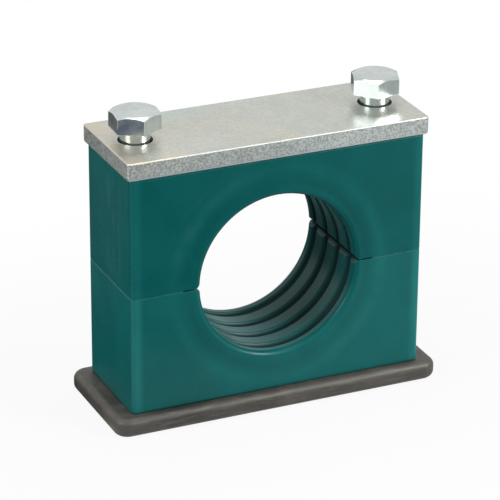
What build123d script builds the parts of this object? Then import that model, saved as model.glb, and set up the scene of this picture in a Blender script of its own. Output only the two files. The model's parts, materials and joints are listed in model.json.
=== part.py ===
from build123d import *
from math import cos, radians, sin, sqrt, tan
import os

# Heavy-series tube clamp: a weld plate, two moulded jaws that close on a tube, a cover plate
# over the jaws and two long hex bolts that run through all of them into the weld plate.
# Frame: +X along the clamp, +Y along the tube, +Z up, z = 0 on the underside of the weld plate.

# ---- driving dimensions (mm) ----
tube_diameter = 133.0        # outside diameter of the tube that the ribs grip
jaw_length = 250.0           # along X
jaw_width = 90.0             # along the tube
jaw_height = 98.5            # each jaw, from its seat to the parting face
jaw_corner_radius = 4.5      # upright corners
jaw_edge_radius = 1.6        # edges round the two seats
parting_edge_chamfer = 0.7   # edges round the two parting faces
bolt_spacing = 205.0         # between the two bolt axes
jaw_hole_clearance = 1.0     # round the bolt, radial

groove_count = 4             # drain grooves between the gripping ribs
end_rib = 13.5               # from each side face to the middle of the nearest groove
groove_width = 8.4
groove_depth = 3.2
groove_lip_radius = 1.3      # where a groove runs out onto a rib
rim_radius = 4.6             # flare at both mouths of the bore
relief_depth = 0.6           # each parting face stands back beside the bore
relief_reach = 15.0          # how far that relief runs out from the bore
parting_corner = 3.0         # bevel between bore and parting face
bevel_inset = 5.0            # the bevel's cutting square is centred this far inside the bore
parting_corner_radius = 2.4

cover_overhang_x = 2.6       # past the jaws at each end
cover_overhang_y = 1.8       # past the jaws, front and back
cover_thickness = 15.0
cover_corner_radius = 3.0
cover_top_radius = 1.0
cover_bottom_radius = 2.8
cover_hole_clearance = 2.0   # round the bolt, radial

weld_overhang_x = 15.0       # past the jaws at each end
weld_overhang_y = 8.5        # past the jaws, front and back
weld_thickness = 16.0
weld_corner_radius = 12.0
weld_edge_radius = 6.0
thread_clearance = 0.05      # round the bolt in its tapped hole, radial
thread_countersink = 1.2

bolt_diameter = 23.9         # over the thread crests
across_flats = 36.0
head_height = 15.0
bearing_height = 0.8         # round bearing face under the head
bearing_shy = 1.2            # that face stands this far inside the flats
head_chamfer_angle = 30.0
head_chamfer_shy = 1.0       # top chamfer circle, inside the flats
neck_radius = 1.0            # fillet between head and shank
tip_chamfer = 2.2
tip_recess = 3.0             # screwed home, the tip stops this far above the underside
bolt_standoff = 9.0          # as stored, each head stands this far above the cover
left_bolt_turn = -2.0        # degrees that a flat is turned from facing +X
right_bolt_turn = -19.5

# ---- levels and sizes that follow ----
bore_radius = tube_diameter / 2
bolt_radius = bolt_diameter / 2
weld_top = weld_thickness
parting_level = weld_top + jaw_height
jaws_top = parting_level + jaw_height
cover_top = jaws_top + cover_thickness
head_seat = cover_top + bolt_standoff
bolt_length = cover_top - tip_recess
cut_margin = 5.0             # how far a cutting body runs past the faces it opens

bore_axis = Axis((0, 0, parting_level), (0, 1, 0))
along_bore = Plane(origin=(0, 0, parting_level), x_dir=(0, 1, 0), z_dir=(1, 0, 0))
across_bore = Plane(origin=(0, 0, parting_level), x_dir=(1, 0, 0), z_dir=(0, -1, 0))

os.makedirs("parts", exist_ok=True)


def finish(piece, name):
    """Label one finished piece and write it as its own node."""
    piece.label = name
    export_step(piece, f"parts/{name}.step")


# ---- the bore: gripping ribs with drain grooves between them, flared at both mouths ----
# A groove is a round-bottomed channel: the radius follows from its width and depth.
groove_radius = (groove_width**2 / 4 + groove_depth**2) / (2 * groove_depth)
groove_pitch = (jaw_width - 2 * end_rib) / (groove_count - 1)
mouth_height = bore_radius + 2 * rim_radius


def crest_corners(section, nearest, farthest):
    """Corners of the bore section at the rib crests, between two distances from mid-width."""
    return section.vertices().filter_by(
        lambda corner: abs(corner.Y - bore_radius) < 0.01 and nearest < abs(corner.X) < farthest
    )


with BuildPart() as bore_cut:
    with BuildSketch(along_bore) as bore_section:
        Rectangle(jaw_width, bore_radius, align=(Align.CENTER, Align.MIN))
        with GridLocations(jaw_width + cut_margin, 0, 2, 1):
            Rectangle(cut_margin, mouth_height, align=(Align.CENTER, Align.MIN))
        with Locations((0, bore_radius + groove_depth - groove_radius)):
            with GridLocations(groove_pitch, 0, groove_count, 1):
                Circle(groove_radius)
        fillet(crest_corners(bore_section, 0, jaw_width / 2 - 0.01), groove_lip_radius)
        fillet(crest_corners(bore_section, jaw_width / 2 - 0.01, jaw_width), rim_radius)
    revolve(axis=bore_axis)

# ---- the parting faces stand back beside the bore and are bevelled where they meet it ----
with BuildPart() as parting_cut:
    with BuildSketch(across_bore) as parting_section:
        Rectangle(2 * (bore_radius + relief_reach), 2 * relief_depth)
        with GridLocations(2 * (bore_radius - bevel_inset), 0, 2, 1):
            side = sqrt(2) * (bevel_inset + parting_corner + relief_depth)
            Rectangle(side, side, rotation=45)
        outer_reach = bore_radius + parting_corner
        bevel_ends = parting_section.vertices().filter_by(
            lambda corner: abs(abs(corner.X) - outer_reach) < 0.01
            and abs(abs(corner.Y) - relief_depth) < 0.01
        )
        fillet(bevel_ends, parting_corner_radius)
    extrude(amount=jaw_width / 2 + cut_margin, both=True)

# ---- lower and upper jaw: the same moulding, one turned over on the other ----
for name, seat_level, parting_side in (
    ("lower_jaw", weld_top, Axis.Z),
    ("upper_jaw", parting_level, -Axis.Z),
):
    with BuildPart() as jaw:
        with BuildSketch(Plane.XY.offset(seat_level)):
            RectangleRounded(jaw_length, jaw_width, jaw_corner_radius)
            with GridLocations(bolt_spacing, 0, 2, 1):
                Circle(bolt_radius + jaw_hole_clearance, mode=Mode.SUBTRACT)
        extrude(amount=jaw_height)
        parting_face = jaw.faces().sort_by(parting_side)[-1]
        seat_face = jaw.faces().sort_by(parting_side)[0]
        chamfer(parting_face.outer_wire().edges(), parting_edge_chamfer)
        fillet(seat_face.outer_wire().edges(), jaw_edge_radius)
        add(bore_cut.part, mode=Mode.SUBTRACT)
        add(parting_cut.part, mode=Mode.SUBTRACT)
    finish(jaw.part, name)

# ---- cover plate: sheared steel, with the softer rounding of the shear underneath ----
with BuildPart() as cover_plate:
    with BuildSketch(Plane.XY.offset(jaws_top)):
        RectangleRounded(
            jaw_length + 2 * cover_overhang_x,
            jaw_width + 2 * cover_overhang_y,
            cover_corner_radius,
        )
        with GridLocations(bolt_spacing, 0, 2, 1):
            Circle(bolt_radius + cover_hole_clearance, mode=Mode.SUBTRACT)
    extrude(amount=cover_thickness)
    fillet(cover_plate.faces().sort_by(Axis.Z)[-1].outer_wire().edges(), cover_top_radius)
    fillet(cover_plate.faces().sort_by(Axis.Z)[0].outer_wire().edges(), cover_bottom_radius)
finish(cover_plate.part, "cover_plate")

# ---- weld plate: thick plate with round edges and two tapped holes ----
with BuildPart() as weld_plate:
    with BuildSketch(Plane.XY):
        RectangleRounded(
            jaw_length + 2 * weld_overhang_x,
            jaw_width + 2 * weld_overhang_y,
            weld_corner_radius,
        )
        with GridLocations(bolt_spacing, 0, 2, 1):
            Circle(bolt_radius + thread_clearance, mode=Mode.SUBTRACT)
    extrude(amount=weld_thickness)
    for face in (weld_plate.faces().sort_by(Axis.Z)[-1], weld_plate.faces().sort_by(Axis.Z)[0]):
        chamfer(face.inner_wires().edges(), thread_countersink)
    for face in (weld_plate.faces().sort_by(Axis.Z)[-1], weld_plate.faces().sort_by(Axis.Z)[0]):
        fillet(face.outer_wire().edges(), weld_edge_radius)
finish(weld_plate.part, "weld_plate")

# ---- two hex bolts, each backed off the cover by the same standoff ----
chamfer_circle = across_flats / 2 - head_chamfer_shy
corner_radius = across_flats / sqrt(3) + 1.0
chamfer_drop = (corner_radius - chamfer_circle) * tan(radians(head_chamfer_angle))

for name, bolt_x, turn in (
    ("left_bolt", -bolt_spacing / 2, left_bolt_turn),
    ("right_bolt", bolt_spacing / 2, right_bolt_turn),
):
    toward_flat = (cos(radians(turn)), sin(radians(turn)), 0)
    seat = Plane(origin=(bolt_x, 0, head_seat), x_dir=toward_flat, z_dir=(0, 0, 1))
    upright = Plane(origin=(bolt_x, 0, head_seat), x_dir=(1, 0, 0), z_dir=(0, -1, 0))
    with BuildPart() as bolt:
        with BuildSketch(seat.offset(bearing_height)):
            RegularPolygon(across_flats / 2, 6, major_radius=False, rotation=30)
        extrude(amount=head_height - bearing_height)
        with BuildSketch(upright):
            with BuildLine():
                Polyline(
                    (0, 0),
                    (corner_radius, 0),
                    (corner_radius, head_height - chamfer_drop),
                    (chamfer_circle, head_height),
                    (0, head_height),
                    close=True,
                )
            make_face()
        revolve(axis=Axis((bolt_x, 0, 0), (0, 0, 1)), mode=Mode.INTERSECT)
        with BuildSketch(seat):
            Circle(across_flats / 2 - bearing_shy)
        extrude(amount=bearing_height)
        with BuildSketch(seat):
            Circle(bolt_radius)
        extrude(amount=-bolt_length)
        neck = bolt.edges().filter_by(GeomType.CIRCLE).filter_by_position(
            Axis.Z, head_seat - 0.01, head_seat + 0.01
        )
        fillet(neck.sort_by(SortBy.RADIUS)[0], neck_radius)
        chamfer(bolt.edges().sort_by(Axis.Z)[0], tip_chamfer)
    finish(bolt.part, name)
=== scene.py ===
"""Looks of a heavy-series tube clamp: moulded jaws, zinc-plated cover and bolts, dark weld plate.

Every finish is a node material, every new piece is a mesh made by bmesh operators, and the
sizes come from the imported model. All lengths are in metres.
"""

import json
import math

import bmesh
import bpy
from bpy.props import FloatProperty, FloatVectorProperty, IntProperty, PointerProperty
from mathutils import Matrix, Vector


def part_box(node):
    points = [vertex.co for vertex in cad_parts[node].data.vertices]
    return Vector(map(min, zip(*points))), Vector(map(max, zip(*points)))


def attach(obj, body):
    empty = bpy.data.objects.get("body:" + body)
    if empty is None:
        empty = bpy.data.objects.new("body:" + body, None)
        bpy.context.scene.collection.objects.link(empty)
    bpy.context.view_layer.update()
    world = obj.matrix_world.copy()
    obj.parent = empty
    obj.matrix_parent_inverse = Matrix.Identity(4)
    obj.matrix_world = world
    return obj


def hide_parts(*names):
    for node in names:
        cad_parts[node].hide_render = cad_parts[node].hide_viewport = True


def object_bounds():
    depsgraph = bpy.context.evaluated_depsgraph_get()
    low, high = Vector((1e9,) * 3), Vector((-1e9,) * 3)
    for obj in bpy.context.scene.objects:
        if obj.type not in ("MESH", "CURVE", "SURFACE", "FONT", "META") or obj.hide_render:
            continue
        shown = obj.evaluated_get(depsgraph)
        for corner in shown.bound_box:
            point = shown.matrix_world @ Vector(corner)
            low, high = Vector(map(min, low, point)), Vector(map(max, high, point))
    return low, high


bl_info = {
    "name": "Tube Clamp Looks",
    "version": (1, 0, 0),
    "blender": (4, 5, 0),
    "location": "View3D > Sidebar > Tube Clamp",
    "description": "Finishes, screw threads and studio for a heavy-series tube clamp",
    "category": "Object",
}

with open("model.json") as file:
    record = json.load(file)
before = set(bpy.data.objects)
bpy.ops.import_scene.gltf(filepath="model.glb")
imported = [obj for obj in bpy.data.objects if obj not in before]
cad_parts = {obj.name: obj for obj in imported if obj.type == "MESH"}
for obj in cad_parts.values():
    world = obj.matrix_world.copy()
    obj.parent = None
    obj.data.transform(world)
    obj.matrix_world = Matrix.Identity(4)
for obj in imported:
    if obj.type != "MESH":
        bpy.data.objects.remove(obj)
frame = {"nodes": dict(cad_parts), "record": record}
cad_low, cad_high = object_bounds()

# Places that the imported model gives.
WELD_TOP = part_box("weld_plate")[1].z
PARTING_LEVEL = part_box("lower_jaw")[1].z
JAWS_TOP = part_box("upper_jaw")[1].z
JAW_END, JAW_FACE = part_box("lower_jaw")[1].x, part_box("lower_jaw")[1].y
BORE_RADIUS = next(
    mount for mount in frame["record"]["mounts"] if mount["name"] == "tube_bore"
)["dims"]["r_mm"] / 1000

# Screw thread: one turn of each profile as (0 at the crest or wall to 1 at full depth, rise).
THREAD_CREST = 0.01195        # crest radius of the bolt's thread
THREAD_DEPTH = 0.0017
THREAD_PROFILE = ((0, 0.0), (0, 0.14), (1, 0.44), (1, 0.68), (0, 0.98), (0, 1.0))
RUN_OUT_TURNS = 1.6           # over which the thread fades into the shank
TIP_CHAMFER = 0.0022
TAPPED_PLAY = 0.00003         # from the bolt's crests out to the tapped wall
TAPPED_DEPTH = 0.00153
TAPPED_PROFILE = ((0, 0.0), (0, 0.16), (1, 0.46), (1, 0.66), (0, 0.96), (0, 1.0))
COUNTERSINK = 0.0012          # depth of the mouths of the tapped holes
FLANGE = 0.0005               # how far a tapped lining runs into the plate
CAD_MERGE, THREAD_MERGE = 1e-6, 2e-6
SHARP_EDGE = math.radians(28)

# Rubbed arcs on the jaws: radius, half width, bearing, spread of bearing, strength.
UPPER_SCUFFS = (
    (0.090, 0.007, 2.45, 0.95, 0.10),
    (0.101, 0.004, 2.20, 0.70, 0.07),
    (0.094, 0.003, 2.72, 0.12, 0.16),
)
LOWER_SCUFFS = (
    (0.090, 0.008, -0.60, 0.90, 0.06),
    (0.100, 0.005, -2.30, 0.60, 0.05),
)

# Painted reflection, seen only in the gloss: the floor beyond, dark for shade and bright for lamps,
# by bearing in degrees from straight left, going round the front, and colour.
PAINTED_ROOM_REFLECTION = (
    (0.0, (0.10, 0.11, 0.11)),
    (8.0, (0.30, 0.31, 0.31)),
    (15.0, (1.0, 1.0, 0.98)),
    (29.0, (1.0, 1.0, 1.0)),
    (38.0, (0.10, 0.13, 0.20)),
    (60.0, (0.05, 0.07, 0.11)),
    (95.0, (0.02, 0.03, 0.04)),
    (112.0, (0.22, 0.23, 0.24)),
    (124.0, (0.85, 0.88, 0.92)),
    (145.0, (0.62, 0.66, 0.62)),
    (166.0, (0.16, 0.22, 0.25)),
    (215.0, (0.35, 0.38, 0.38)),
    (262.0, (0.10, 0.11, 0.11)),
    (300.0, (0.14, 0.15, 0.15)),
    (318.0, (0.04, 0.05, 0.05)),
    (330.0, (0.03, 0.04, 0.04)),
    (356.0, (0.05, 0.06, 0.06)),
)

# Soft square panels: name, place, width, watts. They all face LAMP_AIM.
LAMPS = (
    ("key", (0.95, -0.95, 0.90), 0.50, 18.0),
    ("left", (-1.15, -0.15, 0.75), 0.60, 8.5),
    ("top", (0.05, 0.10, 1.50), 0.80, 7.0),
)
LAMP_AIM = Vector((0.0, 0.0, 0.12))

WHITE = (1.0, 1.0, 1.0, 1.0)


# ------------------------------------------------------------------ settings


class ClampJawSettings(bpy.types.PropertyGroup):
    """Moulded plastic of the two jaws."""

    upper_color: FloatVectorProperty(
        name="Upper jaw colour", description="Pigment of the upper jaw", subtype="COLOR",
        size=4, min=0.0, max=1.0, default=(0.0, 0.104, 0.102, 1.0))
    lower_color: FloatVectorProperty(
        name="Lower jaw colour", description="Pigment of the lower jaw", subtype="COLOR",
        size=4, min=0.0, max=1.0, default=(0.0, 0.122, 0.119, 1.0))
    upper_roughness: FloatProperty(
        name="Upper gloss break", description="Roughness of the upper jaw's moulded skin",
        subtype="FACTOR", min=0.0, max=1.0, default=0.27)
    lower_roughness: FloatProperty(
        name="Lower gloss break", description="Roughness of the lower jaw's moulded skin",
        subtype="FACTOR", min=0.0, max=1.0, default=0.31)
    upper_gloss: FloatProperty(
        name="Upper gloss", description="Specular level of the upper jaw", subtype="FACTOR",
        min=0.0, max=1.0, default=0.14)
    lower_gloss: FloatProperty(
        name="Lower gloss", description="Specular level of the lower jaw", subtype="FACTOR",
        min=0.0, max=1.0, default=0.21)


class ClampMetalSettings(bpy.types.PropertyGroup):
    """Zinc plating and the dark skin of the weld plate."""

    cover_color: FloatVectorProperty(
        name="Cover zinc", description="Colour of the cover plate's zinc", subtype="COLOR",
        size=4, min=0.0, max=1.0, default=(0.505, 0.525, 0.48, 1.0))
    bolt_color: FloatVectorProperty(
        name="Bolt zinc", description="Colour of the bolts' brighter zinc", subtype="COLOR",
        size=4, min=0.0, max=1.0, default=(0.52, 0.565, 0.555, 1.0))
    weld_color: FloatVectorProperty(
        name="Weld plate skin", description="Dark phosphated skin of the weld plate",
        subtype="COLOR", size=4, min=0.0, max=1.0, default=(0.070, 0.066, 0.058, 1.0))


class ClampThreadSettings(bpy.types.PropertyGroup):
    """Screw thread on the bolts and in the weld plate."""

    pitch: FloatProperty(
        name="Pitch", description="Rise of the thread in one turn", subtype="DISTANCE",
        unit="LENGTH", min=0.001, max=0.006, default=0.003)
    length: FloatProperty(
        name="Threaded length", description="Length of the bolt's thread", subtype="DISTANCE",
        unit="LENGTH", min=0.02, max=0.12, default=0.072)
    steps: IntProperty(
        name="Steps", description="Facets in one turn of the thread", min=12, max=96, default=40)


class ClampStageSettings(bpy.types.PropertyGroup):
    """Camera and floor."""

    camera_place: FloatVectorProperty(
        name="Camera place", description="Where the camera stands", subtype="TRANSLATION",
        unit="LENGTH", size=3, default=(-0.8710, -1.9068, 1.0452))
    camera_aim: FloatVectorProperty(
        name="Camera aim", description="Point on the clamp's middle plane that the camera looks at",
        subtype="TRANSLATION", unit="LENGTH", size=3, default=(-0.0050, 0.0, 0.1180))
    camera_roll: FloatProperty(
        name="Camera roll", description="Turn about the line of sight", subtype="ANGLE",
        unit="ROTATION", default=math.radians(0.44))
    lens: FloatProperty(
        name="Lens", description="Focal length in millimetres on a 36 mm sensor",
        unit="CAMERA", min=20.0, max=400.0, default=207.4)
    floor_color: FloatVectorProperty(
        name="Floor", description="Pale studio floor", subtype="COLOR",
        size=4, min=0.0, max=1.0, default=(0.62, 0.62, 0.62, 1.0))


# ------------------------------------------------------------------ node helpers


def node(tree, kind, **values):
    """Add a node and set its own properties."""
    made = tree.nodes.new(kind)
    for name, value in values.items():
        setattr(made, name, value)
    return made


def feed(tree, socket, value):
    """Link a socket to an input, or set a plain value on it."""
    if isinstance(value, bpy.types.NodeSocket):
        tree.links.new(value, socket)
    else:
        socket.default_value = value


def math_node(tree, operation, *values, clamp=False):
    """Math node fed by sockets or plain numbers; gives its output."""
    made = node(tree, "ShaderNodeMath", operation=operation, use_clamp=clamp)
    for socket, value in zip(made.inputs, values):
        feed(tree, socket, value)
    return made.outputs[0]


def times(tree, first, *others):
    """Product of sockets and plain numbers."""
    for other in others:
        first = math_node(tree, "MULTIPLY", first, other)
    return first


def axes(tree, vector):
    """The X, Y and Z of a vector."""
    made = node(tree, "ShaderNodeSeparateXYZ")
    tree.links.new(vector, made.inputs[0])
    return made.outputs["X"], made.outputs["Y"], made.outputs["Z"]


def distance(tree, first, second):
    """Length of a slope with these two legs."""
    return math_node(tree, "SQRT", math_node(
        tree, "ADD", times(tree, first, first), times(tree, second, second)))


def noise(tree, vector, scale, detail=4.0, roughness=0.5, distortion=0.0):
    """Noise texture on a vector; gives its value."""
    made = node(tree, "ShaderNodeTexNoise")
    tree.links.new(vector, made.inputs["Vector"])
    for name, value in (("Scale", scale), ("Detail", detail), ("Roughness", roughness),
                        ("Distortion", distortion)):
        feed(tree, made.inputs[name], value)
    return made.outputs["Fac"]


def ramp(tree, value, low, high, low_out=0.0, high_out=1.0):
    """Clamped smooth step of a value between two marks."""
    made = node(tree, "ShaderNodeMapRange", interpolation_type="SMOOTHSTEP")
    for name, mark in (("Value", value), ("From Min", low), ("From Max", high),
                       ("To Min", low_out), ("To Max", high_out)):
        feed(tree, made.inputs[name], mark)
    return made.outputs["Result"]


def band(tree, value, rise, fall):
    """Mask that is 1 between its rise and its fall, each a pair of marks."""
    return times(tree, ramp(tree, value, *rise), ramp(tree, value, *fall, 1.0, 0.0))


def mix_color(tree, factor, first, second):
    """Mix two colours, each a socket or a plain colour."""
    made = node(tree, "ShaderNodeMix", data_type="RGBA")
    for place, value in ((0, factor), (6, first), (7, second)):
        feed(tree, made.inputs[place], value)
    return made.outputs[2]


def shade(color, factor, lift=0.0):
    """A colour made darker or paler."""
    return (*(min(channel * factor + lift, 1.0) for channel in color[:3]), 1.0)


def stretched(tree, vector, scale=(1, 1, 1), place=(0, 0, 0), turn=(0, 0, 0)):
    """Mapping that moves, turns and stretches a pattern on the piece."""
    made = node(tree, "ShaderNodeMapping")
    for name, value in (("Vector", vector), ("Location", place), ("Rotation", turn),
                        ("Scale", scale)):
        feed(tree, made.inputs[name], value)
    return made.outputs["Vector"]


def new_group(name, inputs, *outputs):
    """Empty shader node group: each input is a name and a default, None for a vector."""
    tree = bpy.data.node_groups.new(name, "ShaderNodeTree")
    for label, default in inputs.items():
        kind = "NodeSocketVector" if default is None else "NodeSocketFloat"
        socket = tree.interface.new_socket(name=label, in_out="INPUT", socket_type=kind)
        if default is not None:
            socket.default_value = default
    for label in outputs:
        tree.interface.new_socket(name=label, in_out="OUTPUT", socket_type="NodeSocketFloat")
    return tree, node(tree, "NodeGroupInput").outputs, node(tree, "NodeGroupOutput").inputs


def use_group(tree, name, vector, **values):
    """Place a shared group in a material with its own values; gives its outputs."""
    made = node(tree, "ShaderNodeGroup", node_tree=shared_group(name))
    tree.links.new(vector, made.inputs["Vector"])
    for label, value in values.items():
        made.inputs[label.replace("_", " ")].default_value = value
    return made.outputs


def new_material(name):
    """Empty node material; gives it, its tree, its Principled BSDF's inputs and its output."""
    made = bpy.data.materials.new(name)
    made.use_nodes = True
    tree = made.node_tree
    tree.nodes.clear()
    shader = node(tree, "ShaderNodeBsdfPrincipled")
    surface = node(tree, "ShaderNodeOutputMaterial").inputs["Surface"]
    tree.links.new(shader.outputs[0], surface)
    return made, tree, shader, surface


def bump(tree, shader, *layers):
    """Stack of bumps: each layer is (height socket, distance in metres, strength)."""
    previous = None
    for height, depth, strength in layers:
        made = node(tree, "ShaderNodeBump")
        made.inputs["Distance"].default_value = depth
        made.inputs["Strength"].default_value = strength
        tree.links.new(height, made.inputs["Height"])
        if previous is not None:
            tree.links.new(previous, made.inputs["Normal"])
        previous = made.outputs["Normal"]
    tree.links.new(previous, shader.inputs["Normal"])


# ------------------------------------------------------------------ shared effects


def edge_wear_group():
    """Mask that is 1 along outer edges, broken up by noise."""
    tree, given, mask = new_group(
        "edge_wear", {"Vector": None, "Width": 0.001, "Breakup": 60.0}, "Mask")
    rounded = node(tree, "ShaderNodeBevel", samples=6)
    tree.links.new(given["Width"], rounded.inputs["Radius"])
    turned = node(tree, "ShaderNodeVectorMath", operation="DOT_PRODUCT")
    tree.links.new(rounded.outputs["Normal"], turned.inputs[0])
    tree.links.new(node(tree, "ShaderNodeNewGeometry").outputs["Normal"], turned.inputs[1])
    away = math_node(tree, "SUBTRACT", 1.0, turned.outputs["Value"])
    speck = noise(tree, given["Vector"], given["Breakup"], 3.0)
    broken = times(tree, ramp(tree, away, 0.004, 0.12), ramp(tree, speck, 0.30, 0.62))
    tree.links.new(broken, mask["Mask"])
    return tree


def mottle_group():
    """Cloudy variation at two scales, about 0, and a fine grain from 0 to 1."""
    tree, given, made = new_group(
        "mottle", {"Vector": None, "Cloud scale": 18.0, "Patch scale": 70.0,
                   "Grain scale": 900.0}, "Cloud", "Grain")
    cloud = noise(tree, given["Vector"], given["Cloud scale"], 3.0)
    patch = noise(tree, given["Vector"], given["Patch scale"], 5.0)
    both = math_node(tree, "ADD", math_node(tree, "MULTIPLY_ADD", cloud, 2.4, -1.2),
                     math_node(tree, "MULTIPLY_ADD", patch, 1.6, -0.8))
    tree.links.new(both, made["Cloud"])
    tree.links.new(noise(tree, given["Vector"], given["Grain scale"], 2.0), made["Grain"])
    return tree


def hairlines_group():
    """Sparse fine scratches in one direction, 1 on a scratch."""
    tree, given, mask = new_group("hairlines", {"Vector": None, "Amount": 0.5}, "Mask")
    lines = noise(tree, given["Vector"], 1.0, 2.0, 0.5, 0.15)
    narrow = math_node(tree, "ABSOLUTE", math_node(tree, "SUBTRACT", lines, 0.5))
    patches = noise(tree, given["Vector"], 0.31, 2.0, 0.55)
    threshold = math_node(tree, "SUBTRACT", 1.0, given["Amount"])
    seen = math_node(tree, "MULTIPLY", math_node(tree, "SUBTRACT", patches, threshold), 6.0,
                     clamp=True)
    tree.links.new(times(tree, ramp(tree, narrow, 0.0, 0.012, 1.0, 0.0), seen), mask["Mask"])
    return tree


def arc_scuff_group():
    """One rubbed arc about the bore: 1 inside a band at one radius and bearing, broken up."""
    tree, given, mask = new_group(
        "arc_scuff", {"Vector": None, "Radius": 0.09, "Width": 0.006, "Bearing": 2.5,
                      "Spread": 0.2}, "Mask")
    across, _, up = axes(tree, given["Vector"])

    def near(value, wanted, reach):
        off = math_node(tree, "ABSOLUTE", math_node(tree, "SUBTRACT", value, wanted))
        return math_node(tree, "SUBTRACT", 1.0, math_node(tree, "DIVIDE", off, reach), clamp=True)

    ring = near(distance(tree, across, up), given["Radius"], given["Width"])
    arc = near(math_node(tree, "ARCTAN2", up, across), given["Bearing"], given["Spread"])
    soft = ramp(tree, noise(tree, given["Vector"], 90.0, 5.0, 0.55), 0.35, 0.75)
    tree.links.new(times(tree, ring, arc, soft), mask["Mask"])
    return tree


GROUP_MAKERS = {"edge_wear": edge_wear_group, "mottle": mottle_group,
                "hairlines": hairlines_group, "arc_scuff": arc_scuff_group}


def shared_group(name):
    """A shared node group, built the first time it is wanted."""
    return bpy.data.node_groups.get(name) or GROUP_MAKERS[name]()


# ------------------------------------------------------------------ jaws


def jaw_plastic(name, color, roughness, gloss, scuffs):
    """Pigmented polypropylene from the mould: soft gloss, faint clouding, rubbed arcs and edges,
    and painted shade and highlight round the bore, down the corners and in the grooves.
    """
    made, tree, shader, _ = new_material(name)
    place = node(tree, "ShaderNodeTexCoord").outputs["Object"]
    centred = stretched(tree, place, place=(0, 0, -PARTING_LEVEL))
    clouds = use_group(tree, "mottle", place, Cloud_scale=9.0, Patch_scale=38.0,
                       Grain_scale=1400.0)
    wear = use_group(tree, "edge_wear", place, Width=0.0012, Breakup=85.0)
    cloud = ramp(tree, clouds["Cloud"], -0.7, 0.7)
    pigment = mix_color(tree, cloud, shade(color, 0.90), shade(color, 1.07, 0.001))
    pigment = mix_color(tree, times(tree, wear["Mask"], 0.32), pigment, (0.10, 0.26, 0.25, 1.0))
    marks = scuff_marks(tree, centred, scuffs)
    pigment = mix_color(tree, marks, pigment, (0.16, 0.22, 0.20, 1.0))
    scratches = use_group(tree, "hairlines", stretched(
        tree, place, (520.0, 520.0, 34.0), turn=(0.0, 0.35, 0.1)), Amount=0.41)["Mask"]
    pigment = mix_color(tree, times(tree, scratches, 0.12), pigment, (0.04, 0.24, 0.23, 1.0))
    # Painted shade and highlight in rings round the bore.
    pigment = painted_sink_ring_shading(tree, centred, pigment)
    # Painted highlight down the rounded upright corners.
    pigment = painted_corner_highlight(tree, place, pigment)
    pigment = mix_color(tree, end_rub(tree, place), pigment, (0.09, 0.20, 0.19, 1.0))
    # Painted shade: the bore's grooves darkened nearly to black, and made duller.
    groove_shade = painted_groove_shade(tree, centred)
    pigment = mix_color(tree, groove_shade, pigment, (0.001, 0.016, 0.016, 1.0))
    tree.links.new(pigment, shader.inputs["Base Color"])
    skin = math_node(tree, "MULTIPLY_ADD", cloud, 0.08, roughness - 0.04)
    skin = math_node(tree, "ADD", skin, times(tree, groove_shade, 0.25))
    dull = math_node(tree, "MAXIMUM", times(tree, marks, 0.5), times(tree, scratches, 0.06))
    tree.links.new(math_node(tree, "ADD", skin, dull, clamp=True), shader.inputs["Roughness"])
    shader.inputs["IOR"].default_value = 1.49
    shader.inputs["Specular IOR Level"].default_value = gloss
    bump(tree, shader, (noise(tree, place, 14.0, 2.0, 0.4), 0.0006, 0.10),
         (clouds["Grain"], 0.00003, 0.25), (scratches, -0.00002, 0.06))
    return made


def scuff_marks(tree, centred, scuffs):
    """Mask of all the rubbed arcs of one jaw."""
    marks = None
    for radius, width, bearing, spread, strength in scuffs:
        arc = use_group(tree, "arc_scuff", centred, Radius=radius, Width=width,
                        Bearing=bearing, Spread=spread)["Mask"]
        mark = times(tree, arc, strength)
        marks = mark if marks is None else math_node(tree, "MAXIMUM", marks, mark)
    return marks


def painted_sink_ring_shading(tree, centred, pigment):
    """Painted shade and highlight: faint dark and pale rings round the bore, standing in for the
    light and shade on a shallow sink in the moulding.
    """
    across, _, up = axes(tree, centred)
    wander = math_node(tree, "MULTIPLY_ADD", noise(tree, centred, 11.0, 2.0, 0.55), 0.010, -0.005)
    reach = math_node(tree, "ADD", distance(tree, across, up), wander)
    uneven = ramp(tree, noise(tree, centred, 16.0, 3.0, 0.55), 0.35, 0.62, 0.35, 1.0)
    dark = band(tree, reach, (0.0725, 0.0760), (0.0770, 0.0835))
    pale = band(tree, reach, (0.0825, 0.0880), (0.0900, 0.0980))
    pigment = mix_color(tree, times(tree, dark, uneven, 0.30), pigment, (0.0, 0.055, 0.052, 1.0))
    return mix_color(tree, times(tree, pale, uneven, 0.20), pigment, (0.01, 0.21, 0.20, 1.0))


def painted_corner_highlight(tree, place, pigment):
    """Painted highlight: a pale band down the jaws' rounded upright corners, strongest on the lower
    jaw.
    """
    across, along, up = axes(tree, place)
    near_end = ramp(tree, math_node(tree, "ABSOLUTE", across), JAW_END - 0.0110, JAW_END - 0.0045)
    near_face = ramp(tree, math_node(tree, "ABSOLUTE", along), JAW_FACE - 0.0040, JAW_FACE - 0.0005)
    lower = ramp(tree, up, PARTING_LEVEL - 0.002, PARTING_LEVEL, 1.0, 0.45)
    uneven = ramp(tree, noise(tree, stretched(tree, place, (1.0, 1.0, 0.3)), 40.0, 2.0, 0.55),
                  0.25, 0.60, 0.4, 1.0)
    strength = times(tree, near_end, near_face, times(tree, lower, uneven), 0.48)
    return mix_color(tree, strength, pigment, (0.02, 0.25, 0.24, 1.0))


def end_rub(tree, place):
    """Mask of the blotchy upright rub marks on the left end face."""
    across, along, up = axes(tree, place)
    on_end = ramp(tree, across, 0.0002 - JAW_END, 0.0010 - JAW_END, 1.0, 0.0)
    off_middle = math_node(tree, "ABSOLUTE", math_node(tree, "ADD", along, 0.010))
    strip = ramp(tree, off_middle, 0.006, 0.024, 1.0, 0.0)
    height = band(tree, up, (0.105, 0.140), (0.190, 0.212))
    blotch = ramp(tree, noise(tree, stretched(tree, place, (1.0, 1.0, 0.16)), 260.0, 4.0, 0.65),
                  0.46, 0.68)
    return times(tree, on_end, strip, times(tree, height, blotch), 0.30)


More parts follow.
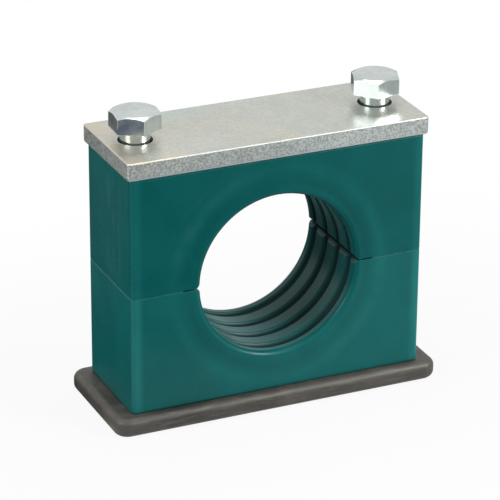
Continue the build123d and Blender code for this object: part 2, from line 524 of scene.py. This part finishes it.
def painted_groove_shade(tree, centred):
    """Mask of the drain grooves in the bore: painted shade darkens them, and the moulding there
    stays dull.
    """
    across, along, up = axes(tree, centred)
    deep = band(tree, distance(tree, across, up), (BORE_RADIUS + 0.0003, BORE_RADIUS + 0.0020),
                (BORE_RADIUS + 0.0034, BORE_RADIUS + 0.0040))
    inside = ramp(tree, math_node(tree, "ABSOLUTE", along), 0.0385, 0.0400, 1.0, 0.0)
    return times(tree, deep, inside, 0.85)


# ------------------------------------------------------------------ metals


def cover_zinc(color):
    """Zinc on plate from the rolling mill: satin with clouded tints, bright rubbed edges, coarse
    sheared sides, a painted highlight along the bottom edge.
    """
    made, tree, shader, _ = new_material("cover_zinc")
    place = node(tree, "ShaderNodeTexCoord").outputs["Object"]
    clouds = use_group(tree, "mottle", place, Cloud_scale=14.0, Patch_scale=85.0,
                       Grain_scale=1100.0)
    wear = use_group(tree, "edge_wear", place, Width=0.0016, Breakup=140.0)
    cloud = ramp(tree, clouds["Cloud"], -0.8, 0.8)
    zinc = mix_color(tree, cloud, shade(color, 0.90), shade(color, 1.08))
    # Tints that the passivation leaves on the flats.
    warm = ramp(tree, noise(tree, place, 20.0, 3.0, 0.5, 0.6), 0.46, 0.64, 0.0, 0.50)
    cool = ramp(tree, noise(tree, stretched(tree, place, place=(0.37, 0.11, 0.0)), 17.0, 3.0,
                            0.5, 0.4), 0.50, 0.68, 0.0, 0.45)
    speckle = ramp(tree, noise(tree, place, 380.0, 4.0, 0.7), 0.40, 0.62, 0.0, 0.55)
    zinc = mix_color(tree, warm, zinc, (0.57, 0.53, 0.44, 1.0))
    zinc = mix_color(tree, cool, zinc, (0.42, 0.53, 0.50, 1.0))
    zinc = mix_color(tree, speckle, zinc, (0.40, 0.415, 0.375, 1.0))
    across, _, up = axes(tree, place)
    left_end = ramp(tree, across, cad_low.x + 0.022, cad_low.x + 0.080, 1.0, 0.0)
    film = ramp(tree, noise(tree, place, 34.0, 3.0, 0.5, 0.8), 0.36, 0.62, 0.0, 0.75)
    zinc = mix_color(tree, times(tree, left_end, film), zinc, (0.60, 0.53, 0.42, 1.0))
    # Sheared sides: paler and torn, with a painted highlight along the bottom edge.
    _, _, facing_up = axes(tree, node(tree, "ShaderNodeNewGeometry").outputs["Normal"])
    upright = ramp(tree, math_node(tree, "ABSOLUTE", facing_up), 0.12, 0.40, 1.0, 0.0)
    torn = noise(tree, place, 560.0, 4.0, 0.74)
    zinc = mix_color(tree, times(tree, upright, 0.60), zinc, (0.78, 0.83, 0.82, 1.0))
    tear = times(tree, ramp(tree, torn, 0.42, 0.60), upright, 0.70)
    zinc = mix_color(tree, tear, zinc, (0.25, 0.29, 0.27, 1.0))
    # Painted highlight: a pale bluish band along the rounded bottom edge, standing in for a
    # reflection of the floor.
    bottom_edge_highlight = ramp(tree, up, JAWS_TOP + 0.0008, JAWS_TOP + 0.0028, 0.75, 0.0)
    zinc = mix_color(tree, bottom_edge_highlight, zinc, (0.86, 0.92, 0.96, 1.0))
    zinc = mix_color(tree, times(tree, wear["Mask"], 0.7), zinc, (0.86, 0.87, 0.85, 1.0))
    tree.links.new(zinc, shader.inputs["Base Color"])
    shader.inputs["Metallic"].default_value = 0.85
    rough = math_node(tree, "MULTIPLY_ADD", cloud, 0.10, 0.27)
    rough = math_node(tree, "ADD", rough, times(tree, speckle, 0.12))
    rough = math_node(tree, "ADD", rough, times(tree, upright, 0.12))
    tree.links.new(rough, shader.inputs["Roughness"])
    bump(tree, shader, (noise(tree, place, 210.0, 3.0, 0.55), 0.00012, 0.22),
         (times(tree, torn, upright), 0.00035, 0.7), (clouds["Grain"], 0.00004, 0.35))
    return made


def bolt_zinc(color):
    """Bright zinc on forged bolts: glossy, softly dimpled, whiter along the rubbed corners."""
    made, tree, shader, _ = new_material("bolt_zinc")
    place = node(tree, "ShaderNodeTexCoord").outputs["Object"]
    clouds = use_group(tree, "mottle", place, Cloud_scale=40.0, Patch_scale=170.0,
                       Grain_scale=1600.0)
    wear = use_group(tree, "edge_wear", place, Width=0.0015, Breakup=120.0)
    cloud = ramp(tree, clouds["Cloud"], -0.8, 0.8)
    zinc = mix_color(tree, cloud, shade(color, 0.86), shade(color, 1.10))
    tint = ramp(tree, noise(tree, place, 55.0, 3.0, 0.5, 0.5), 0.5, 0.75, 0.0, 0.22)
    zinc = mix_color(tree, tint, zinc, (0.45, 0.58, 0.60, 1.0))
    edge = times(tree, wear["Mask"], 0.85)
    zinc = mix_color(tree, edge, zinc, (0.93, 0.95, 0.95, 1.0))
    tree.links.new(zinc, shader.inputs["Base Color"])
    tree.links.new(math_node(tree, "MULTIPLY_ADD", edge, -0.60, 0.95), shader.inputs["Metallic"])
    tree.links.new(math_node(tree, "MULTIPLY_ADD", cloud, 0.12, 0.14), shader.inputs["Roughness"])
    bump(tree, shader, (noise(tree, place, 330.0, 3.0, 0.55), 0.00012, 0.30),
         (clouds["Grain"], 0.00003, 0.30))
    return made


def weld_steel(color):
    """Phosphated steel plate: dark, matt, speckled, rubbed lighter and browner along its edges."""
    made, tree, shader, _ = new_material("weld_steel")
    place = node(tree, "ShaderNodeTexCoord").outputs["Object"]
    clouds = use_group(tree, "mottle", place, Cloud_scale=16.0, Patch_scale=95.0,
                       Grain_scale=800.0)
    wear = use_group(tree, "edge_wear", place, Width=0.0035, Breakup=120.0)
    cloud = ramp(tree, clouds["Cloud"], -0.8, 0.8)
    skin = mix_color(tree, cloud, shade(color, 0.72), shade(color, 1.30))
    brown = ramp(tree, noise(tree, place, 60.0, 4.0, 0.6, 0.4), 0.52, 0.72, 0.0, 0.45)
    skin = mix_color(tree, brown, skin, (0.15, 0.115, 0.085, 1.0))
    streaks = noise(tree, stretched(tree, place, (45.0, 90.0, 620.0)), 1.0, 5.0, 0.65, 0.3)
    skin = mix_color(tree, ramp(tree, streaks, 0.46, 0.70, 0.0, 0.55), skin,
                     (0.155, 0.148, 0.135, 1.0))
    skin = mix_color(tree, times(tree, wear["Mask"], 0.55), skin, (0.30, 0.28, 0.25, 1.0))
    tree.links.new(skin, shader.inputs["Base Color"])
    shader.inputs["Metallic"].default_value = 0.35
    tree.links.new(math_node(tree, "MULTIPLY_ADD", cloud, 0.16, 0.42), shader.inputs["Roughness"])
    bump(tree, shader, (noise(tree, place, 160.0, 4.0, 0.55), 0.0003, 0.35),
         (clouds["Grain"], 0.00006, 0.5))
    return made


def dress(node_name, material):
    """Give a CAD node its finish."""
    piece = frame["nodes"][node_name]
    if not piece.data.materials:
        piece.data.materials.append(None)
    for slot in piece.material_slots:
        slot.link = "OBJECT"
        slot.material = material


# ------------------------------------------------------------------ screw threads


def bolt_centre(name):
    """Middle of a bolt in plan."""
    low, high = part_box(name)
    return (low.x + high.x) / 2, (low.y + high.y) / 2


def helix(mesh, centre, bottom, turns, profile, values):
    """Screw a one-pitch profile of (radius, rise) points up round an axis, right-handed."""
    corners = [mesh.verts.new((centre[0] + radius, centre[1], bottom + rise * values.pitch))
               for radius, rise in profile]
    edges = [mesh.edges.new(pair) for pair in zip(corners, corners[1:])]
    bmesh.ops.spin(
        mesh, geom=corners + edges, cent=(centre[0], centre[1], 0.0), axis=(0.0, 0.0, 1.0),
        dvec=(0.0, 0.0, values.pitch / values.steps), angle=2 * math.pi * turns,
        steps=values.steps * turns, use_duplicate=False)
    bmesh.ops.remove_doubles(mesh, verts=mesh.verts, dist=THREAD_MERGE)


def trim(mesh, level, keep_above, fill=False):
    """Cut a mesh level at one height, and close the cut if asked."""
    cut = bmesh.ops.bisect_plane(
        mesh, geom=mesh.verts[:] + mesh.edges[:] + mesh.faces[:], dist=1e-7,
        plane_co=(0.0, 0.0, level), plane_no=(0.0, 0.0, 1.0),
        clear_inner=keep_above, clear_outer=not keep_above)
    if fill:
        rim = [part for part in cut["geom_cut"] if isinstance(part, bmesh.types.BMEdge)]
        bmesh.ops.holes_fill(mesh, edges=rim, sides=0)


def open_edges(mesh):
    """Edges with a face on one side only."""
    return [edge for edge in mesh.edges if edge.is_boundary]


def set_radius(vert, centre, radius_at):
    """Move a vertex straight out from an axis to the radius that radius_at gives."""
    reach = Vector((vert.co.x - centre[0], vert.co.y - centre[1]))
    reach *= radius_at(reach.length, vert.co.z) / reach.length
    vert.co.x, vert.co.y = centre[0] + reach.x, centre[1] + reach.y


def as_object(mesh, name):
    """Turn a bmesh into an object in the scene, shaded smooth but for its sharp edges."""
    data = bpy.data.meshes.new(name)
    mesh.to_mesh(data)
    mesh.free()
    if "custom_normal" in data.attributes:
        data.attributes.remove(data.attributes["custom_normal"])
    data.shade_smooth()
    data.set_sharp_from_angle(angle=SHARP_EDGE)
    piece = bpy.data.objects.new(name, data)
    bpy.context.scene.collection.objects.link(piece)
    return piece


def threaded_bolt(name, values):
    """Bolt with its plain shank cut short and a rolled thread below it."""
    centre = bolt_centre(name)
    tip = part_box(name)[0].z
    start, run_out = tip + values.length, RUN_OUT_TURNS * values.pitch

    shank = bmesh.new()
    shank.from_mesh(frame["nodes"][name].data)
    bmesh.ops.remove_doubles(shank, verts=shank.verts, dist=CAD_MERGE)
    trim(shank, start, keep_above=True, fill=True)

    thread = bmesh.new()
    profile = [(THREAD_CREST - depth * THREAD_DEPTH, rise) for depth, rise in THREAD_PROFILE]
    turns = int(values.length / values.pitch) + 3
    helix(thread, centre, tip - values.pitch, turns, profile, values)
    trim(thread, tip, keep_above=True)
    trim(thread, start, keep_above=False)

    def faded(radius, level):
        """Thread run out into the shank above, and chamfered at the tip."""
        fade = min(max((level - (start - run_out)) / run_out, 0.0), 1.0)
        return min(radius + (THREAD_CREST - radius) * fade,
                   THREAD_CREST - TIP_CHAMFER + (level - tip))

    for vert in thread.verts:
        set_radius(vert, centre, faded)
    bmesh.ops.holes_fill(thread, edges=open_edges(thread), sides=0)
    bmesh.ops.recalc_face_normals(thread, faces=thread.faces)

    lower = bpy.data.meshes.new(name + "_thread")
    thread.to_mesh(lower)
    thread.free()
    shank.from_mesh(lower)
    bpy.data.meshes.remove(lower)
    return as_object(shank, name + "_threaded")


def tapped_lining(name, bolt, values):
    """Closed ring with the female thread that meets the bolt's own, in phase with it."""
    centre = bolt_centre(bolt)
    bottom, top = COUNTERSINK, WELD_TOP - COUNTERSINK
    wall = THREAD_CREST + TAPPED_PLAY
    lining = bmesh.new()
    profile = [(wall - depth * TAPPED_DEPTH, rise) for depth, rise in TAPPED_PROFILE]
    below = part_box(bolt)[0].z - values.pitch
    while below > bottom - values.pitch:
        below -= values.pitch
    helix(lining, centre, below, int(WELD_TOP / values.pitch) + 4, profile, values)
    trim(lining, bottom, keep_above=True)
    trim(lining, top, keep_above=False)
    bmesh.ops.remove_doubles(lining, verts=lining.verts, dist=THREAD_MERGE)
    flange = bmesh.ops.extrude_edge_only(lining, edges=open_edges(lining))["geom"]
    for part in flange:
        if isinstance(part, bmesh.types.BMVert):
            set_radius(part, centre, lambda radius, level: wall + FLANGE)
    bmesh.ops.bridge_loops(lining, edges=open_edges(lining))
    bmesh.ops.recalc_face_normals(lining, faces=lining.faces)
    return as_object(lining, name)


# ------------------------------------------------------------------ studio


def seen_directly(tree):
    """1 for rays that the camera, gloss or glass sends out, 0 for the rays that light things."""
    path = node(tree, "ShaderNodeLightPath").outputs
    seen = math_node(tree, "MAXIMUM", path["Is Camera Ray"], math_node(
        tree, "MAXIMUM", path["Is Glossy Ray"], path["Is Transmission Ray"]))
    return seen, path["Is Glossy Ray"]


def painted_room_reflection(tree, bearing):
    """Painted reflection: colour of the room by bearing, 0 to 1 for a full turn."""
    room = node(tree, "ShaderNodeValToRGB")
    room.color_ramp.interpolation = "LINEAR"
    stops = room.color_ramp.elements
    while len(stops) > 1:
        stops.remove(stops[0])
    for place, (degrees, color) in enumerate(PAINTED_ROOM_REFLECTION):
        stop = stops.new(degrees / 360.0) if place else stops[0]
        stop.position, stop.color = degrees / 360.0, (*color, 1.0)
    tree.links.new(bearing, room.inputs["Fac"])
    return room.outputs["Color"]


def make_floor(color):
    """Wide pale floor that keeps the clamp's shadow and turns white away from it; the gloss sees it
    as a painted room of light and shade.
    """
    mesh = bmesh.new()
    bmesh.ops.create_grid(mesh, x_segments=2, y_segments=2, size=6.0,
                          matrix=Matrix.Translation((0.0, 0.0, -0.0002)))
    data = bpy.data.meshes.new("studio_floor")
    mesh.to_mesh(data)
    mesh.free()
    floor = bpy.data.objects.new("studio_floor", data)
    bpy.context.scene.collection.objects.link(floor)
    made, tree, shader, surface = new_material("studio_floor")
    shader.inputs["Base Color"].default_value = color
    shader.inputs["Roughness"].default_value = 0.9
    shader.inputs["Specular IOR Level"].default_value = 0.1
    seen, glossy = seen_directly(tree)
    across, along, _ = axes(tree, node(tree, "ShaderNodeTexCoord").outputs["Object"])

    def beyond(value, edge):
        past = math_node(tree, "SUBTRACT", math_node(tree, "ABSOLUTE", value), edge)
        return math_node(tree, "MAXIMUM", past, 0.0)

    away = distance(tree, beyond(across, cad_high.x), beyond(along, cad_high.y))
    bearing = math_node(tree, "MULTIPLY_ADD", math_node(tree, "ARCTAN2", along, across),
                        0.5 / math.pi, 0.5)
    # Painted reflection: glossy rays see the floor pale near the clamp, and further out dark and
    # bright by bearing.
    far = math_node(tree, "MAXIMUM", ramp(tree, away, 0.05, 0.20), ramp(tree, along, -0.05, 0.0))
    gloss = mix_color(tree, far, (0.80, 0.80, 0.80, 1.0), painted_room_reflection(tree, bearing))
    glow = node(tree, "ShaderNodeEmission")
    tree.links.new(mix_color(tree, glossy, WHITE, gloss), glow.inputs["Color"])
    share = math_node(tree, "MAXIMUM", ramp(tree, away, 0.0, 0.40, 0.92, 1.0), glossy)
    mixed = node(tree, "ShaderNodeMixShader")
    tree.links.new(times(tree, seen, share), mixed.inputs[0])
    tree.links.new(shader.outputs[0], mixed.inputs[1])
    tree.links.new(glow.outputs[0], mixed.inputs[2])
    tree.links.new(mixed.outputs[0], surface)
    data.materials.append(made)


def make_lamps():
    """Soft panels: key high on the right in front, fill from the left, one above."""
    for name, place, size, power in LAMPS:
        lamp = bpy.data.lights.new("lamp_" + name, "AREA")
        lamp.shape = "SQUARE"
        lamp.size = size
        lamp.energy = power
        panel = bpy.data.objects.new("lamp_" + name, lamp)
        panel.location = place
        panel.rotation_euler = (LAMP_AIM - Vector(place)).to_track_quat("-Z", "Y").to_euler()
        bpy.context.scene.collection.objects.link(panel)


def make_world():
    """Pale even surroundings; white where the camera, gloss or glass sees them."""
    world = bpy.data.worlds.new("studio_world")
    bpy.context.scene.world = world
    world.use_nodes = True
    tree = world.node_tree
    tree.nodes.clear()
    mixed = node(tree, "ShaderNodeMixShader")
    tree.links.new(seen_directly(tree)[0], mixed.inputs[0])
    for place, strength in ((1, 0.12), (2, 1.0)):
        light = node(tree, "ShaderNodeBackground")
        light.inputs["Color"].default_value = WHITE
        light.inputs["Strength"].default_value = strength
        tree.links.new(light.outputs[0], mixed.inputs[place])
    tree.links.new(mixed.outputs[0], node(tree, "ShaderNodeOutputWorld").inputs["Surface"])


def make_camera(values):
    """Long lens, from the upper left."""
    lens = bpy.data.cameras.new("camera")
    lens.lens = values.lens
    lens.sensor_width = 36.0
    camera = bpy.data.objects.new("camera", lens)
    place, aim = Vector(values.camera_place), Vector(values.camera_aim)
    level = (aim - place).to_track_quat("-Z", "Y").to_matrix()
    camera.location = place
    camera.rotation_euler = (level @ Matrix.Rotation(values.camera_roll, 3, "Z")).to_euler()
    bpy.context.scene.collection.objects.link(camera)
    bpy.context.scene.camera = camera


# ------------------------------------------------------------------ operators


class CLAMP_OT_jaws(bpy.types.Operator):
    """Finish both moulded jaws"""

    bl_idname = "clamp.jaws"
    bl_label = "Finish the jaws"

    def execute(self, context):
        values = context.scene.clamp_jaws
        dress("upper_jaw", jaw_plastic(
            "upper_jaw_plastic", values.upper_color, values.upper_roughness,
            values.upper_gloss, UPPER_SCUFFS))
        dress("lower_jaw", jaw_plastic(
            "lower_jaw_plastic", values.lower_color, values.lower_roughness,
            values.lower_gloss, LOWER_SCUFFS))
        return {"FINISHED"}


class CLAMP_OT_cover(bpy.types.Operator):
    """Finish the cover plate"""

    bl_idname = "clamp.cover"
    bl_label = "Finish the cover plate"

    def execute(self, context):
        dress("cover_plate", cover_zinc(context.scene.clamp_metal.cover_color))
        return {"FINISHED"}


class CLAMP_OT_weld_plate(bpy.types.Operator):
    """Finish the weld plate"""

    bl_idname = "clamp.weld_plate"
    bl_label = "Finish the weld plate"

    def execute(self, context):
        dress("weld_plate", weld_steel(context.scene.clamp_metal.weld_color))
        return {"FINISHED"}


class CLAMP_OT_bolts(bpy.types.Operator):
    """Make both bolts with their rolled threads, and finish them"""

    bl_idname = "clamp.bolts"
    bl_label = "Make the bolts"

    def execute(self, context):
        values = context.scene.clamp_threads
        zinc = bolt_zinc(context.scene.clamp_metal.bolt_color)
        for name in ("left_bolt", "right_bolt"):
            piece = threaded_bolt(name, values)
            piece.data.materials.append(zinc)
            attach(piece, name)
            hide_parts(name)
        return {"FINISHED"}


class CLAMP_OT_tapped_holes(bpy.types.Operator):
    """Line the weld plate's two holes with their tapped threads"""

    bl_idname = "clamp.tapped_holes"
    bl_label = "Tap the weld plate"

    def execute(self, context):
        values = context.scene.clamp_threads
        steel = bpy.data.materials.get("weld_steel")
        if steel is None:
            raise RuntimeError("finish the weld plate before tapping it")
        for side, bolt in (("left", "left_bolt"), ("right", "right_bolt")):
            piece = tapped_lining(side + "_tapped_thread", bolt, values)
            piece.data.materials.append(steel)
            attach(piece, "clamp")
        return {"FINISHED"}


class CLAMP_OT_stage(bpy.types.Operator):
    """Set up the floor, the lamps, the world and the camera"""

    bl_idname = "clamp.stage"
    bl_label = "Set up the studio"

    def execute(self, context):
        values = context.scene.clamp_stage
        make_floor(values.floor_color)
        make_lamps()
        make_world()
        make_camera(values)
        context.scene.view_settings.view_transform = "Standard"
        return {"FINISHED"}


# ------------------------------------------------------------------ sidebar and registration


class CLAMP_PT_sidebar(bpy.types.Panel):
    """Sizes, colours and steps of the tube clamp's looks"""

    bl_idname = "CLAMP_PT_sidebar"
    bl_label = "Tube Clamp"
    bl_space_type = "VIEW_3D"
    bl_region_type = "UI"
    bl_category = "Tube Clamp"

    def draw(self, context):
        for name in SETTINGS:
            values = getattr(context.scene, name)
            box = self.layout.box()
            for label in values.__annotations__:
                box.prop(values, label)
        for operator in OPERATORS:
            self.layout.operator(operator.bl_idname)


OPERATORS = (CLAMP_OT_jaws, CLAMP_OT_cover, CLAMP_OT_weld_plate, CLAMP_OT_bolts,
             CLAMP_OT_tapped_holes, CLAMP_OT_stage)
SETTINGS = {
    "clamp_jaws": ClampJawSettings,
    "clamp_metal": ClampMetalSettings,
    "clamp_threads": ClampThreadSettings,
    "clamp_stage": ClampStageSettings,
}


def register():
    """Register the classes and hang the settings on the scene."""
    for kind in (*SETTINGS.values(), *OPERATORS, CLAMP_PT_sidebar):
        bpy.utils.register_class(kind)
    for name, kind in SETTINGS.items():
        setattr(bpy.types.Scene, name, PointerProperty(type=kind))


def unregister():
    """Take the settings and the classes away again."""
    for name in SETTINGS:
        delattr(bpy.types.Scene, name)
    for kind in reversed((*SETTINGS.values(), *OPERATORS, CLAMP_PT_sidebar)):
        bpy.utils.unregister_class(kind)


def main():
    """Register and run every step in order."""
    register()
    bpy.ops.clamp.jaws()
    bpy.ops.clamp.cover()
    bpy.ops.clamp.weld_plate()
    bpy.ops.clamp.bolts()
    bpy.ops.clamp.tapped_holes()
    bpy.ops.clamp.stage()


if __name__ == "__main__":
    main()
